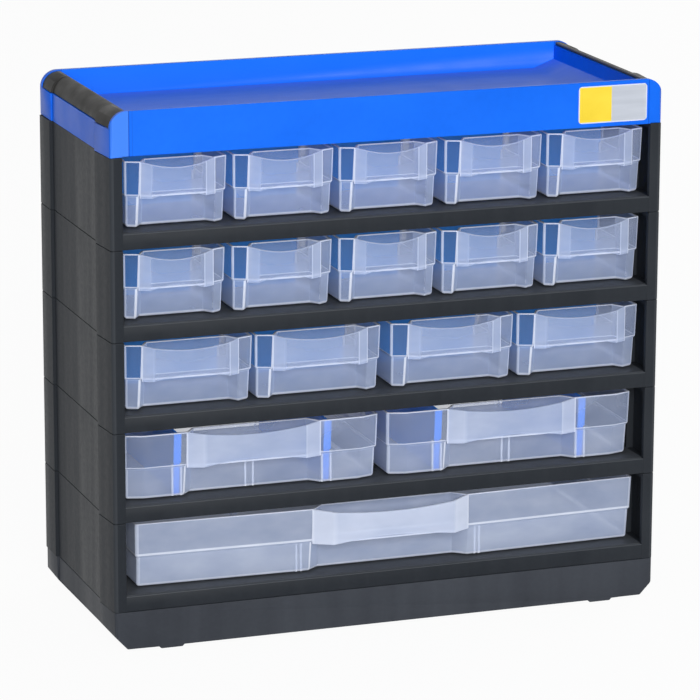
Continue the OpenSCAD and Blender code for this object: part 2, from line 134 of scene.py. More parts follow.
# Haze of the drawers, from 0 for clear to 1 where nothing shows through, in rows 1 to 5
# The higher haze of rows 4 and 5 also makes them paler, which is partly painted light for the brighter light
# there
HAZE_UPPER = (0.06, 0.06, 0.09, 0.24, 0.41)
HAZE_RIGHT = (0.24, 0.24, 0.24, 0.26, 0.40)     # upper band to the right of the handle
HAZE_RECESS = (0.17, 0.17, 0.20, 0.30, 0.42)
HAZE_LOWER = (0.33, 0.33, 0.35, 0.38, 0.47)
HAZE_PLATE = (0.20, 0.20, 0.27, 0.44, 0.60)
HAZE_FACET = (0.36, 0.36, 0.38, 0.54, 0.68)
HAZE_SIDE = 0.32        # side walls
HAZE_REAR = 0.50        # rear wall
HAZE_CHEEK = 0.40       # the recess's side walls
HAZE_FLOOR = 0.42       # floor
HAZE_SKID = 0.03        # skids under it
HAZE_RIB = 0.50         # ribs of the slots across a drawer
HAZE_RIB_FRONT = 0.80   # front ribs of the slots along it
HAZE_RIB_REAR = 0.30    # and their rear ribs
HAZE_BAR = 0.90         # bars behind a handle of row 4
# How far off its place a point may lie and still count to a side wall's ends, a side wall or a recess's side
REACH_END, REACH_SIDE, REACH_CHEEK = 0.5, 0.1, 0.3
# Haze along the edges, which also makes them pale: partly haze seen through the edge, partly painted
# highlight
LINE_INNER = 0.30       # edges inside the drawer
LINE_SLOPE = 0.40       # the slope between the bands, and the ends of the bottom's rounding
LINE_UNDER = 0.45       # lower edge of the slope
LINE_SKIRT = 0.35       # inner edge under the handle
LINE_RIM = 0.74         # the rim and the ledge
LINE_TOP = 0.45         # upper and lower edge of the handle
LINE_WEB = 0.70         # the handle's web
LINE_BEND = 0.62        # upright bend at the right of the handle
LINE_BOTTOM = 0.72      # bottom edges
LINE_TURN = (0.3, 1.3)  # the part of their rounding that has it, in radians
LINE_CORNER = 0.62      # upright outer corners of the front
LINE_RECESS = 0.78      # upright corner at the left of the handle

# Frame, in mm, as in the part
BODY_W = 305.5
BODY_D = 129.0
LAYER_H = 48.4
BASE_TOP = 21.7
PANEL_T = 2.6
POST_PROUD = 1.75
END_PROUD = 1.05        # of the tray's rear posts
FRONT_POST_D = 23.3
REAR_POST_D = 20.5
PILLAR_W = 6.5
FLANGE_T = 3.0
POST_RIB_T = 2.0
CORNER_R = 1.8
RAIL_H = 8.6
RAIL_T = 2.4
SHELF_T = 2.0
RAIL_LIFT = 0.2         # gap under a rail
GUIDE_T = 1.2
GUIDE_H = 2.0
STOP_H = 1.5
SHELF_RIBS = 3
HEAD_T = 3.0
TRAY_Z = BASE_TOP + LAYER_H * len(ROWS)
TRAY_FLOOR = 9.5
TRAY_R = 9.2
TRAY_IN = 10.2          # inner face of the tray's end wall
CAP_Y = (2.85, 125.9)
CAP_Z = 14.8
CAP_R = 8.7
CAP_INNER = 8.7         # inner side of a cap, under its flat
TUCK = 1.0              # how far a hidden end runs into its neighbour
# Frame, what the moulding adds
FINE_R = 0.3            # rounding of small edges
POST_R = 0.4            # of a post's edges
POST_FRONT_R = 0.6      # of a front post's outer edge
REAR_CORNER_R = 1.0     # and of the outer rear corner
# Fillings of the side walls' pockets: how far they run into the panel, and how far they stay off the wall's
# inner edge and off the layer's top and underside
FILL_LAP, FILL_SET, FILL_OFF = 0.5, 0.3, 0.6
SHELF_RIB_LIFT = 0.4    # how far the shelf's ribs end above the rails' undersides
SLIT_H = 0.2            # half the height of the slit where two layers meet
SLIT_D = 0.8            # and its depth
SLIT_R = 0.15           # rounding of its edges
RAIL_SET = 0.15         # how far a rail's face lies behind the pillars'
RAIL_R = 0.4            # rounding of a rail's edges
# Painted highlights along the frames' edges and painted sheen on their shelves, carried by the mesh's tone
EDGE_W = 0.3            # width over which the painted highlight under an upper edge fades
EDGE_SEAM = 0.12        # strength of the painted highlight on a frame's upper edge, from 0 to 1
EDGE_RAIL = 0.4         # a rail's
EDGE_CORNER = 0.15      # an upright front corner
SHELF_PAINTED_SHEEN = 0.50       # painted sheen on the shelf
CAP_SEAM = 0.7          # gap along a cap's inner edge
CAP_SLIT = 0.5          # and under its outer edge
CAP_FLAT = 1.3          # height of the lip along its inner edge
CAP_EASE = 0.03         # how far its slanting side beside the front post ends off the full width
TRAY_SKIRT = 0.3        # how far the inner colours stay off the tray's end walls
TRAY_FRONT_T = 3.1      # front wall of the tray, with its lip
TRAY_REAR_T = 3.3       # its rear wall
TRAY_FACE = 1.0         # depth that counts as an outer face of the tray
TRAY_SLOPE = 4.7        # height of the floor's sloping ends
# Tray front: side, distance from it, width and darkness of each joint line
TRAY_LINES = ((-1, 10.2, 0.45, 0.85), (-1, 12.0, 0.4, 0.3), (1, 7.6, 0.4, 0.6))
# Label, in mm
LABEL_SPLIT = 0.48      # where the yellow part ends, as a share of the width
LABEL_MARGIN = 0.6
LABEL_R = 0.08          # rounding of its edges

# Meshes taken from the CAD, in mm and degrees
WELD = 0.002            # points closer than this are one
FLAT_TURN = 1.0         # faces that turn less than this are one
EDGE_TURN = 35.0        # edges that turn more are rounded,
EDGE_LENGTH = 2.5       # if they are longer than this,
EDGE_STEPS = 2          # in so many faces
BASE_R = 0.5            # rounding of the base
TRAY_EDGE_R = 0.4       # and of the tray
SMOOTH_SHAPE = 35.0     # faces of a shape that turn less are shaded as one
SMOOTH_SKIN = 40.0      # and faces of a rounded CAD mesh

# Materials
SPECULAR = 0.12         # of the charcoal, blue and black mouldings
SPECULAR_CLEAR = 0.3    # of the drawers and the label
# colour of the painted highlights and painted sheen on the charcoal, mixed in by the mesh's tone
CHARCOAL_HIGHLIGHT_AND_SHEEN = (0.13, 0.14, 0.155)
# colour of the painted highlight on the caps' flat
CAP_PAINTED_HIGHLIGHT = (0.13, 0.13, 0.13)
# paler streaks on the tray's floor: partly scuffs, partly painted sheen
FLOOR_SCUFF_AND_SHEEN_BLUE = (0.085, 0.215, 0.86)
# painted light that makes the tray's rear wall brighter
REAR_PAINTED_LIGHT_BLUE = (0.012, 0.195, 0.97)
# painted sheen on the left end of the tray's front
END_PAINTED_SHEEN_BLUE = (0.05, 0.21, 0.86)
JOINT_BLUE = (0.0, 0.04, 0.36)
# pale colour of the drawers' edges: haze, partly painted highlight
EDGE_HAZE_AND_HIGHLIGHT = (0.86, 0.90, 1.0)
MARGIN_GREY = (0.66, 0.70, 0.82)
GLANCING = 1.06         # keeps the way of light through a wall finite where this is seen edge on

# Studio, in metres and watts: lamps as (name, place, size, power), turned to one point, the light of the
# surroundings, and a floor that looks white
LAMP_AIM = (0, 0, 0.14)
LAMPS = (("key", (-0.45, -2.4, 0.85), 1.1, 50), ("fill", (2.0, 1.3, 0.9), 1.2, 14))
SKY = (0.93, 0.96, 1.0, 1)
SKY_STRENGTH = 0.28
WHITE = (1, 1, 1, 1)
FLOOR_REACH = 6.0
FLOOR_GREY = (0.82, 0.82, 0.82, 1)
FLOOR_ROUGHNESS = 0.7
FLOOR_GLOW = 0.95       # share of the floor's look that is plain white


# Mesh helpers ------------------------------------------------------------------------

class Shape:
    """Points in mm, the faces between them, and a tone for each point: the haze of a drawer's wall, or how
    strong a painted highlight or painted sheen is on a frame or a cap."""

    def __init__(self):
        self.verts, self.faces, self.tones = [], [], []

    def add(self, verts, faces, tones=0.0):
        start = len(self.verts)
        self.verts += [tuple(v) for v in verts]
        self.faces += [tuple(start + i for i in face) for face in faces]
        self.tones += tones if isinstance(tones, list) else [tones] * len(verts)

    def box(self, low, high, tones=0.0):
        verts = [(x, y, z) for z in (low[2], high[2]) for y in (low[1], high[1]) for x in (low[0], high[0])]
        faces = [(0, 2, 3, 1), (4, 5, 7, 6), (0, 1, 5, 4), (2, 6, 7, 3), (0, 4, 6, 2), (1, 3, 7, 5)]
        self.add(verts, faces, tones)

    def soft_box(self, low, high, radius, edge=0.0):
        """A box with round edges, the upper ones with a painted highlight of tone edge."""
        outline = [(low[0], low[1], radius), (high[0], low[1], radius), (high[0], high[1], radius),
                   (low[0], high[1], radius)]
        turns = quarter(2)
        levels = [(radius * (1 - sin(a)), low[2] + radius * (1 - cos(a)), 0) for a in turns]
        levels.append((0, high[2] - radius - EDGE_W, 0))
        levels += [(radius * (1 - cos(a)), high[2] - radius * (1 - sin(a)), edge) for a in turns[::-1]]
        self.prism(outline, levels)

    def prism(self, outline, levels):
        """An outline of (x, y, radius) or (x, y, radius, tone) corners carried through levels of
        (inset, z, tone)."""
        rings, tones = [], []
        for inset, z, tone in levels:
            ring = rounded(outline, inset, steps=3, beside=EDGE_W)
            rings.append([(x, y, z) for x, y, _ in ring])
            tones += [max(tone, corner) for _, _, corner in ring]
        self.loft(rings, tones, closed_first=True, closed_last=True)

    def loft(self, rings, tones=0.0, closed_first=False, closed_last=False, loop=True):
        """Faces between rings of as many points each. The first and last ring may be filled."""
        count = len(rings[0])
        faces = []
        for r in range(len(rings) - 1):
            for i in range(count if loop else count - 1):
                j = (i + 1) % count
                faces.append((r * count + i, r * count + j, (r + 1) * count + j, (r + 1) * count + i))
        if closed_first:
            faces.append(tuple(reversed(range(count))))
        if closed_last:
            faces.append(tuple((len(rings) - 1) * count + i for i in range(count)))
        self.add([v for ring in rings for v in ring], faces, tones)

    def mirrored(self):
        """The same shape with its left and right swapped, added to it."""
        count = len(self.verts)
        self.verts += [(-x, y, z) for x, y, z in self.verts]
        self.faces += [tuple(count + i for i in reversed(face)) for face in self.faces]
        self.tones += self.tones[:count]
        return self


def quarter(steps):
    """Angles of a quarter turn, in steps."""
    return [pi / 2 * k / steps for k in range(steps + 1)]


def turn_of(a, b, c):
    """Signed turn at b on the way from a over b to c."""
    u, v = b - a, c - b
    return atan2(u.x * v.y - u.y * v.x, u.dot(v))


def moved_in(points, inset):
    """The corners of an anticlockwise outline after it moves inwards by inset."""
    out = []
    for i, b in enumerate(points):
        u = (b - points[i - 1]).normalized()
        v = (points[(i + 1) % len(points)] - b).normalized()
        n1, n2 = Vector((-u.y, u.x)), Vector((-v.y, v.x))
        out.append(b + inset * (n1 + n2) / (1 + n1.dot(n2)))
    return out


def rounded(corners, inset=0.0, steps=5, beside=0.0):
    """An outline of (x, y, radius) or (x, y, radius, tone) corners moved in by inset, as (x, y, tone) points:
    a round corner has its tone, and beside says how far from it the points stand where the tone is 0."""
    points = moved_in([Vector(c[:2]) for c in corners], inset)
    out = []
    for i, b in enumerate(points):
        a, c = points[i - 1], points[(i + 1) % len(points)]
        turn = turn_of(a, b, c)
        r = max(corners[i][2] + (-inset if turn > 0 else inset), 0.1)
        tone = corners[i][3] if len(corners[i]) > 3 else 0.0
        reach = r * tan(abs(turn) / 2)
        u, v = (b - a).normalized(), (c - b).normalized()
        start, end = b - u * reach, b + v * reach
        centre = start + Vector((-u.y, u.x)) * r * (1 if turn > 0 else -1)
        if beside and tone:
            out.append((*(start - u * beside), 0.0))
        for k in range(steps + 1):
            spot = centre + Matrix.Rotation(turn * k / steps, 2) @ (start - centre)
            out.append((spot.x, spot.y, tone))
        if beside and tone:
            out.append((*(end + v * beside), 0.0))
    return out


def add_piece(name, shape, body, material, node, at):
    """Makes a piece of a shape that stands for node."""
    mesh = bpy.data.meshes.new(name)
    mesh.from_pydata([Vector(v) * MM for v in shape.verts], [], shape.faces)
    mesh.attributes.new("tone", "FLOAT", "POINT").data.foreach_set("value", shape.tones)
    finish_piece(name, mesh, body, material, node, SMOOTH_SHAPE, at)


def finish_piece(name, mesh, body, material, node, smooth, at=(0, 0, 0)):
    bm = bmesh.new()
    bm.from_mesh(mesh)
    bmesh.ops.recalc_face_normals(bm, faces=bm.faces)
    bm.to_mesh(mesh)
    bm.free()
    mesh.polygons.foreach_set("use_smooth", [True] * len(mesh.polygons))
    mesh.set_sharp_from_angle(angle=radians(smooth))
    mesh.materials.clear()
    mesh.materials.append(material)
    piece = bpy.data.objects.new(name, mesh)
    bpy.context.scene.collection.objects.link(piece)
    piece.location = Vector(at) * MM
    bpy.context.view_layer.update()
    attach(piece, body)
    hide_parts(node)


def softened(node, body, material, width):
    """Stands for a CAD node with its own shape, its longer edges rounded by width in mm."""
    bm = bmesh.new()
    bm.from_mesh(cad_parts[node].data)
    bmesh.ops.remove_doubles(bm, verts=bm.verts, dist=WELD * MM)
    bmesh.ops.dissolve_limit(bm, angle_limit=radians(FLAT_TURN), verts=bm.verts, edges=bm.edges)
    sharp = [e for e in bm.edges if len(e.link_faces) == 2 and e.calc_face_angle() > radians(EDGE_TURN)
             and e.calc_length() > EDGE_LENGTH * MM]
    bmesh.ops.bevel(bm, geom=sharp, offset=width * MM, offset_type="OFFSET", segments=EDGE_STEPS,
                    profile=0.5, affect="EDGES", clamp_overlap=False)
    mesh = bpy.data.meshes.new(node)
    bm.to_mesh(mesh)
    bm.free()
    finish_piece(node + "_skin", mesh, body, material, node, SMOOTH_SKIN)


# Materials ---------------------------------------------------------------------------

class Shader:
    """A material with a Principled shader, and short calls for the nodes that feed it."""

    def __init__(self, name, **values):
        self.material = bpy.data.materials.new(name)
        self.material.use_nodes = True
        self.tree = self.material.node_tree
        self.main = self.tree.nodes["Principled BSDF"]
        for socket, value in values.items():
            self.main.inputs[socket.replace("_", " ")].default_value = value
        self.place = self.node("ShaderNodeTexCoord").outputs["Object"]

    def node(self, kind, **values):
        made = self.tree.nodes.new(kind)
        for key, value in values.items():
            setattr(made, key, value)
        return made

    def link(self, source, target):
        self.tree.links.new(source, target)

    def noise(self, scale, stretch=(1, 1, 1), detail=3.0):
        """Noise over the object, with scale in features per metre."""
        mapping = self.node("ShaderNodeMapping")
        mapping.inputs["Scale"].default_value = stretch
        self.link(self.place, mapping.inputs["Vector"])
        made = self.node("ShaderNodeTexNoise")
        made.inputs["Scale"].default_value = scale
        made.inputs["Detail"].default_value = detail
        self.link(mapping.outputs["Vector"], made.inputs["Vector"])
        return made.outputs["Fac"]

    def ranged(self, value, low, high, start=0.3, end=0.7):
        """A value between start and end, spread from low to high."""
        made = self.node("ShaderNodeMapRange")
        made.inputs["From Min"].default_value = start
        made.inputs["From Max"].default_value = end
        made.inputs["To Min"].default_value = low
        made.inputs["To Max"].default_value = high
        self.link(value, made.inputs["Value"])
        return made.outputs["Result"]

    def mixed(self, factor, a, b):
        """Two colours mixed by a factor, which is an output. Each colour is a tuple or an output."""
        made = self.node("ShaderNodeMix", data_type="RGBA")
        self.link(factor, made.inputs[0])
        for socket, value in ((made.inputs[6], a), (made.inputs[7], b)):
            if isinstance(value, bpy.types.NodeSocket):
                self.link(value, socket)
            else:
                socket.default_value = (*value, 1)
        return made.outputs[2]

    def math(self, operation, *values):
        """A Math node. Each value is a number or an output."""
        made = self.node("ShaderNodeMath", operation=operation)
        for socket, value in zip(made.inputs, values):
            if isinstance(value, bpy.types.NodeSocket):
                self.link(value, socket)
            else:
                socket.default_value = value
        return made.outputs[0]

    def added(self, a, b, weight=1.0):
        """a plus weight times b."""
        return self.math("MULTIPLY_ADD", b, weight, a)

    def axes(self):
        """The x, y and z of the place on the object, in metres."""
        parts = self.node("ShaderNodeSeparateXYZ")
        self.link(self.place, parts.inputs[0])
        return parts.outputs

    def between(self, value, start, end):
        """1 where a value lies between two numbers, else 0."""
        above = self.math("GREATER_THAN", value, start)
        return self.math("MULTIPLY", above, self.math("LESS_THAN", value, end))

    def tone(self):
        """The tone that the mesh carries."""
        return self.node("ShaderNodeAttribute", attribute_name="tone").outputs["Fac"]

    def bump(self, height, distance, strength=1.0):
        """Bump of the given depth in mm."""
        made = self.node("ShaderNodeBump")
        made.inputs["Strength"].default_value = strength
        made.inputs["Distance"].default_value = distance * MM
        self.link(height, made.inputs["Height"])
        self.link(made.outputs["Normal"], self.main.inputs["Normal"])


def charcoal(name, low, high):
    """Satin charcoal moulding: fine grain, faint upright flow streaks, paler patches, and painted highlights
    along edges and painted sheen on the shelves where the mesh's tone says.
    """
    s = Shader(name, Specular_IOR_Level=SPECULAR)
    streaks = s.noise(60.0, (1.6, 1.6, 0.12), detail=4.0)
    patches = s.noise(11.0, detail=2.0)
    mottle = s.noise(420.0, detail=2.0)
    shades = s.added(s.added(patches, streaks, 0.7), mottle, 0.25)
    body = s.mixed(s.ranged(shades, 0.0, 1.0, 0.7, 1.3), low, high)
    # the mesh's tone mixes in painted highlights along edges and painted sheen on the shelves
    s.link(s.mixed(s.tone(), body, CHARCOAL_HIGHLIGHT_AND_SHEEN), s.main.inputs["Base Color"])
    s.link(s.ranged(s.added(streaks, mottle, 0.5), 0.42, 0.58, 0.5, 1.0), s.main.inputs["Roughness"])
    s.bump(s.noise(2600.0, detail=2.0), 0.03, 0.6)
    return s.material


def blue_shader(name, low, high):
    """Smooth bright blue moulding with a faint swirl of tone and a fine ripple: its shader and its colour,
    which isn't linked yet."""
    s = Shader(name, Specular_IOR_Level=SPECULAR)
    swirl = s.added(s.noise(14.0, (1, 1, 1.6), detail=3.0), s.noise(300.0, detail=1.0), 0.2)
    colour = s.mixed(s.ranged(swirl, 0, 1, 0.4, 0.8), low, high)
    s.link(s.ranged(s.noise(40.0, detail=3.0), 0.30, 0.44), s.main.inputs["Roughness"])
    s.bump(s.noise(900.0, detail=2.0), 0.02, 0.5)
    return s, colour


def divider_blue(name, low, high):
    """The dividers' blue, from low to high."""
    s, colour = blue_shader(name, low, high)
    s.link(colour, s.main.inputs["Base Color"])
    return s.material


def tray_blue():
    """The tray's blue, with a floor paler in streaks, partly scuffs and partly painted sheen, a rear wall
    made brighter by painted light, a left end of the front made paler by a painted sheen, and the joint lines
    at the front's ends."""
    s, colour = blue_shader("tray_blue", (0.003, 0.125, 0.76), (0.006, 0.15, 0.86))
    x, y, z = s.axes()
    inner = (BODY_W / 2 - TRAY_IN - TRAY_SKIRT) * MM
    rear_wall = (BODY_D / 2 - TRAY_REAR_T) * MM
    room = s.math("MULTIPLY", s.between(x, -inner, inner),
                  s.between(y, (TRAY_FRONT_T - BODY_D / 2) * MM, rear_wall))
    floor = s.math("MULTIPLY", room, s.math("LESS_THAN", z, (TRAY_Z + TRAY_FLOOR + TRAY_SLOPE) * MM))
    # paler streaks on the floor, partly scuffs and partly painted sheen
    scuffs_and_sheen = s.ranged(s.noise(120.0, (0.25, 1.6, 1), detail=4.0), 0.75, 1.0)
    colour = s.mixed(s.math("MULTIPLY", floor, scuffs_and_sheen), colour, FLOOR_SCUFF_AND_SHEEN_BLUE)
    # the rear wall is painted brighter: painted light
    rear = s.math("MULTIPLY", s.between(x, -inner, inner),
                  s.between(y, rear_wall, (BODY_D / 2 - TRAY_FACE) * MM))
    colour = s.mixed(rear, colour, REAR_PAINTED_LIGHT_BLUE)
    # the left end of the front is painted paler: a painted sheen
    front = s.math("LESS_THAN", y, (TRAY_FACE - BODY_D / 2) * MM)
    end = s.math("MULTIPLY", front, s.math("LESS_THAN", x, (TRAY_LINES[0][1] - BODY_W / 2) * MM))
    colour = s.mixed(end, colour, END_PAINTED_SHEEN_BLUE)
    for side, inset, width, depth in TRAY_LINES:
        at = side * (BODY_W / 2 - inset)
        line = s.math("MULTIPLY", front, s.between(x, (at - width / 2) * MM, (at + width / 2) * MM))
        colour = s.mixed(s.math("MULTIPLY", line, depth), colour, JOINT_BLUE)
    s.link(colour, s.main.inputs["Base Color"])
    return s.material


def cap_black():
    """Soft black moulding with a fine grain, and a painted highlight on the flat along its inner edge."""
    s = Shader("cap_black", Specular_IOR_Level=SPECULAR)
    shades = s.ranged(s.noise(50.0, (1, 0.3, 1), detail=3.0), 0, 1)
    body = s.mixed(shades, (0.024, 0.024, 0.023), (0.036, 0.035, 0.033))
    s.link(s.mixed(s.tone(), body, CAP_PAINTED_HIGHLIGHT), s.main.inputs["Base Color"])
    s.link(s.ranged(s.noise(120.0, detail=3.0), 0.42, 0.58), s.main.inputs["Roughness"])
    s.bump(s.noise(2200.0, detail=2.0), 0.03, 0.7)
    return s.material


def drawer_clear():
    """Clear moulding with a milky haze, which is denser where light crosses a wall aslant, and dense and pale
    along the edges, partly as haze and partly as a painted highlight."""
    s = Shader("drawer_clear", Roughness=0.24, Specular_IOR_Level=SPECULAR_CLEAR)
    tone = s.tone()
    cloud = s.ranged(s.noise(34.0, (1, 1, 2.0), detail=3.0), 0, 1)
    body = s.mixed(cloud, (0.54, 0.65, 0.93), (0.64, 0.73, 0.96))
    # high tones mix in a pale colour: haze along the edges, partly painted highlight
    s.link(s.mixed(s.ranged(tone, 0, 1, 0.45, 0.85), body, EDGE_HAZE_AND_HIGHLIGHT), s.main.inputs["Base Color"])
    aslant = s.node("ShaderNodeLayerWeight")
    aslant.inputs["Blend"].default_value = 0.5
    path = s.math("DIVIDE", 1.0, s.math("SUBTRACT", GLANCING, aslant.outputs["Facing"]))
    clear = s.math("SUBTRACT", 1.0, s.math("MULTIPLY", tone, s.ranged(cloud, 0.93, 1.07, 0, 1)))
    s.link(s.math("SUBTRACT", 1.0, s.math("POWER", clear, path)), s.main.inputs["Alpha"])
    s.bump(s.noise(160.0, detail=2.0), 0.05, 0.3)
    return s.material


def label_film():
    """Bare label film: a yellow part and a silver part inside a pale margin."""
    s = Shader("label_film", Roughness=0.38, Specular_IOR_Level=SPECULAR_CLEAR)
    low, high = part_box("label_plate")
    split = low.x + (high.x - low.x) * LABEL_SPLIT
    x, _, z = s.axes()
    margin = LABEL_MARGIN * MM
    yellow = s.mixed(s.ranged(s.noise(60.0), 0, 1), (0.80, 0.58, 0.03), (0.88, 0.66, 0.05))
    silver = s.mixed(s.ranged(s.noise(80.0, (0.3, 1, 3)), 0, 1), (0.44, 0.47, 0.53), (0.52, 0.55, 0.61))
    inside = s.math("MULTIPLY", s.between(x, low.x + margin, high.x - margin),
                    s.between(z, low.z + margin, high.z - margin))
    printed = s.mixed(s.math("LESS_THAN", x, split), silver, yellow)
    s.link(s.mixed(inside, MARGIN_GREY, printed), s.main.inputs["Base Color"])
    return s.material


CHARCOAL = charcoal("body_charcoal", (0.013, 0.016, 0.021), (0.024, 0.028, 0.034))
BASE_CHARCOAL = charcoal("base_charcoal", (0.032, 0.036, 0.045), (0.052, 0.058, 0.070))
TRAY_BLUE = tray_blue()
# The cross dividers take a darker copy of the dividers' blue: painted shade, as they stand deep inside the
# drawers
CROSS_BLUE_PAINTED_SHADE = divider_blue("divider_blue", (0.035, 0.21, 0.62), (0.045, 0.25, 0.72))
LONG_BLUE = divider_blue("long_divider_blue", (0.045, 0.25, 0.94), (0.065, 0.29, 1.0))
CAP_BLACK = cap_black()
DRAWER_CLEAR = drawer_clear()
LABEL_FILM = label_film()


# Frames ------------------------------------------------------------------------------

HALF_W = BODY_W / 2
HALF_D = BODY_D / 2
OPENING = HALF_W - PILLAR_W


def side_outline():
    """Outline of a frame's left side wall seen from above, its y counted from the front face."""
    outer, panel, inner = -HALF_W - POST_PROUD, -HALF_W, -OPENING
    pocket = panel + PANEL_T
    rear_post = BODY_D - REAR_POST_D
    pockets = []
    for y0, y1 in ((FLANGE_T, FRONT_POST_D), (FRONT_POST_D + POST_RIB_T, rear_post - POST_RIB_T),
                   (rear_post, BODY_D - FLANGE_T)):
        pockets += [(inner, y0, FINE_R), (pocket, y0, FINE_R), (pocket, y1, FINE_R), (inner, y1, FINE_R)]
    return ([(panel, 0, CORNER_R, EDGE_CORNER), (inner, 0, POST_R)] + pockets
            + [(inner, BODY_D, POST_R), (outer, BODY_D, REAR_CORNER_R), (outer, rear_post, POST_R),
               (panel, rear_post, FINE_R), (panel, FRONT_POST_D, FINE_R),
               (outer, FRONT_POST_D, POST_FRONT_R)])


def side_levels():
    """Levels of a frame's side wall, cut back above and below for the slits between the layers."""
    top = LAYER_H - SLIT_H
    return [(SLIT_D, 0, 0), (SLIT_D, SLIT_H, 0), (SLIT_R, SLIT_H, 0), (0, SLIT_H + SLIT_R, 0),
            (0, top - SLIT_R - EDGE_W, 0), (0, top - SLIT_R, EDGE_SEAM), (SLIT_R, top, EDGE_SEAM),
            (SLIT_D, top, 0), (SLIT_D, LAYER_H, 0)]


def frame_shape(row):
    """A frame: two side walls, the rails with the shelf between them, the guide ribs on it and the ribs
    under it."""
    shape = Shape()
    shape.prism(side_outline(), side_levels())
    left, right = PANEL_T - HALF_W - FILL_LAP, -OPENING - FILL_SET
    rear = BODY_D - TUCK
    for y0, y1 in ((TUCK, FRONT_POST_D + TUCK), (BODY_D - REAR_POST_D - TUCK, rear)):
        shape.box((left, y0, LAYER_H - HEAD_T), (right, y1, LAYER_H - FILL_OFF))
    shape.box((left, TUCK, FILL_OFF), (right, rear, RAIL_H))
    shape.mirrored()
    reach = OPENING + TUCK
    shape.soft_box((-reach, RAIL_SET, RAIL_LIFT), (reach, RAIL_T + TUCK, RAIL_H), RAIL_R, edge=EDGE_RAIL)
    # the shelf gets a painted sheen through its tone
    shape.box((-reach, RAIL_T, RAIL_H - SHELF_T), (reach, rear, RAIL_H - HAIR), SHELF_PAINTED_SHEEN)
    shape.soft_box((-reach, BODY_D - RAIL_T, RAIL_LIFT), (reach, BODY_D - RAIL_SET, RAIL_H + STOP_H), RAIL_R)
    lanes = ROWS[row - 1]
    half = GUIDE_T / 2
    for i in range(1, lanes):
        x = -OPENING + 2 * OPENING * i / lanes
        shape.soft_box((x - half, FRONT_POST_D, RAIL_H - TUCK), (x + half, rear, RAIL_H + GUIDE_H), FINE_R)
    for i in range(1, SHELF_RIBS + 1):
        x = -OPENING + 2 * OPENING * i / (SHELF_RIBS + 1)
        shape.box((x - half, TUCK, RAIL_LIFT + SHELF_RIB_LIFT), (x + half, rear, RAIL_H - TUCK))
    return shape


def cap_ring(y, proud, inset):
    """Section of the left cap at y, where its side stands out by proud and all is drawn in by inset: its
    points, and tones that put a painted highlight on the flat."""
    x, r = TRAY_R - HALF_W - proud, CAP_R - inset
    right, under = TRAY_IN - HALF_W - CAP_SEAM - inset, CAP_INNER - HALF_W
    top, low = CAP_Z + r, CAP_Z + HAIR
    lip = [(x - r, CAP_Z + CAP_SLIT)] + [(x - r * cos(a), CAP_Z + r * sin(a)) for a in quarter(14)[1:]]
    points = [(x - r + SLIT_D, low), (x - r + SLIT_D, CAP_Z + CAP_SLIT)] + lip
    flat = [(right - FINE_R, top), (right, top - FINE_R)]
    rest = [(right, top - CAP_FLAT), (under, top - CAP_FLAT), (under, low)]
    # tone 1 paints a highlight on the flat along the inner edge
    tones = [0] * (len(points) - 1) + [1, 1, 1, 0, 0, 0]
    return [(px, y, z) for px, z in points + flat + rest], tones


def cap_shape():
    """The left cap: a quarter-round bar, wider beside the posts, with a flat along its inner edge."""
    y0, y1 = CAP_Y
    rear_post = BODY_D - REAR_POST_D
    rings, tones = [], []
    for y, proud, inset in ((y0, 0, FINE_R), (y0 + FINE_R, CAP_EASE, 0),
                            (FRONT_POST_D - FINE_R, POST_PROUD - CAP_EASE, 0),
                            (FRONT_POST_D, POST_PROUD - FINE_R, 0), (FRONT_POST_D + HAIR, 0, 0),
                            (rear_post - HAIR, 0, 0), (rear_post, END_PROUD - FINE_R, 0),
                            (rear_post + FINE_R, END_PROUD, 0), (y1 - FINE_R, END_PROUD, 0),
                            (y1, END_PROUD, FINE_R)):
        ring, ring_tones = cap_ring(y, proud, inset)
        rings.append(ring)
        tones += ring_tones
    shape = Shape()
    shape.loft(rings, tones, closed_first=True, closed_last=True)
    return shape


for row in range(1, LAST_ROW + 1):
    add_piece(f"frame_{row}_skin", frame_shape(row), "cabinet", CHARCOAL, f"frame_{row}",
              at=(0, -HALF_D, BASE_TOP + (LAST_ROW - row) * LAYER_H))
softened("base", "cabinet", BASE_CHARCOAL, BASE_R)
softened("top_tray", "cabinet", TRAY_BLUE, TRAY_EDGE_R)
for side, sign in (("left", 1), ("right", -1)):
    cap = cap_shape()
    cap.verts = [(sign * x, y, z) for x, y, z in cap.verts]
    add_piece(f"tray_cap_{side}_bar", cap, "cabinet", CAP_BLACK, f"tray_cap_{side}",
              at=(0, -HALF_D, TRAY_Z))
softened("label_plate", "cabinet", LABEL_FILM, LABEL_R)


# Drawers -----------------------------------------------------------------------------

def drawer_corners(row, width, length, draft):
    """Corners (x, y, radius, haze) of a drawer's outline, with its sides and its front drawn in by draft."""
    side, front = draft
    w, run = width / 2 - side, RECESS_RUN[row - 1]
    g = GRIP[row - 1] / 2 - RECESS_IN + side * RECESS_LEAN
    corner = (-w, CORNER_BACK + CORNER_LEAN * front, SECTION_R if row < LONG_ROW else WIDE_R, LINE_CORNER)
    bend = [(-w + CORNER_RUN, front, BEND_R, 0)] if row == LONG_ROW else []
    recess = [(-g, front, INNER_R, LINE_RECESS), (-g + run, RECESS_D + front * RECESS_DRAFT, INNER_R, 0)]
    left = [corner] + bend + recess
    right = [(-x, y, r, tone if x < -g else 0) for x, y, r, tone in reversed(left)]
    rear = length - side
    return left + right + [(w, rear, REAR_R, 0), (-w, rear, REAR_R, 0)]


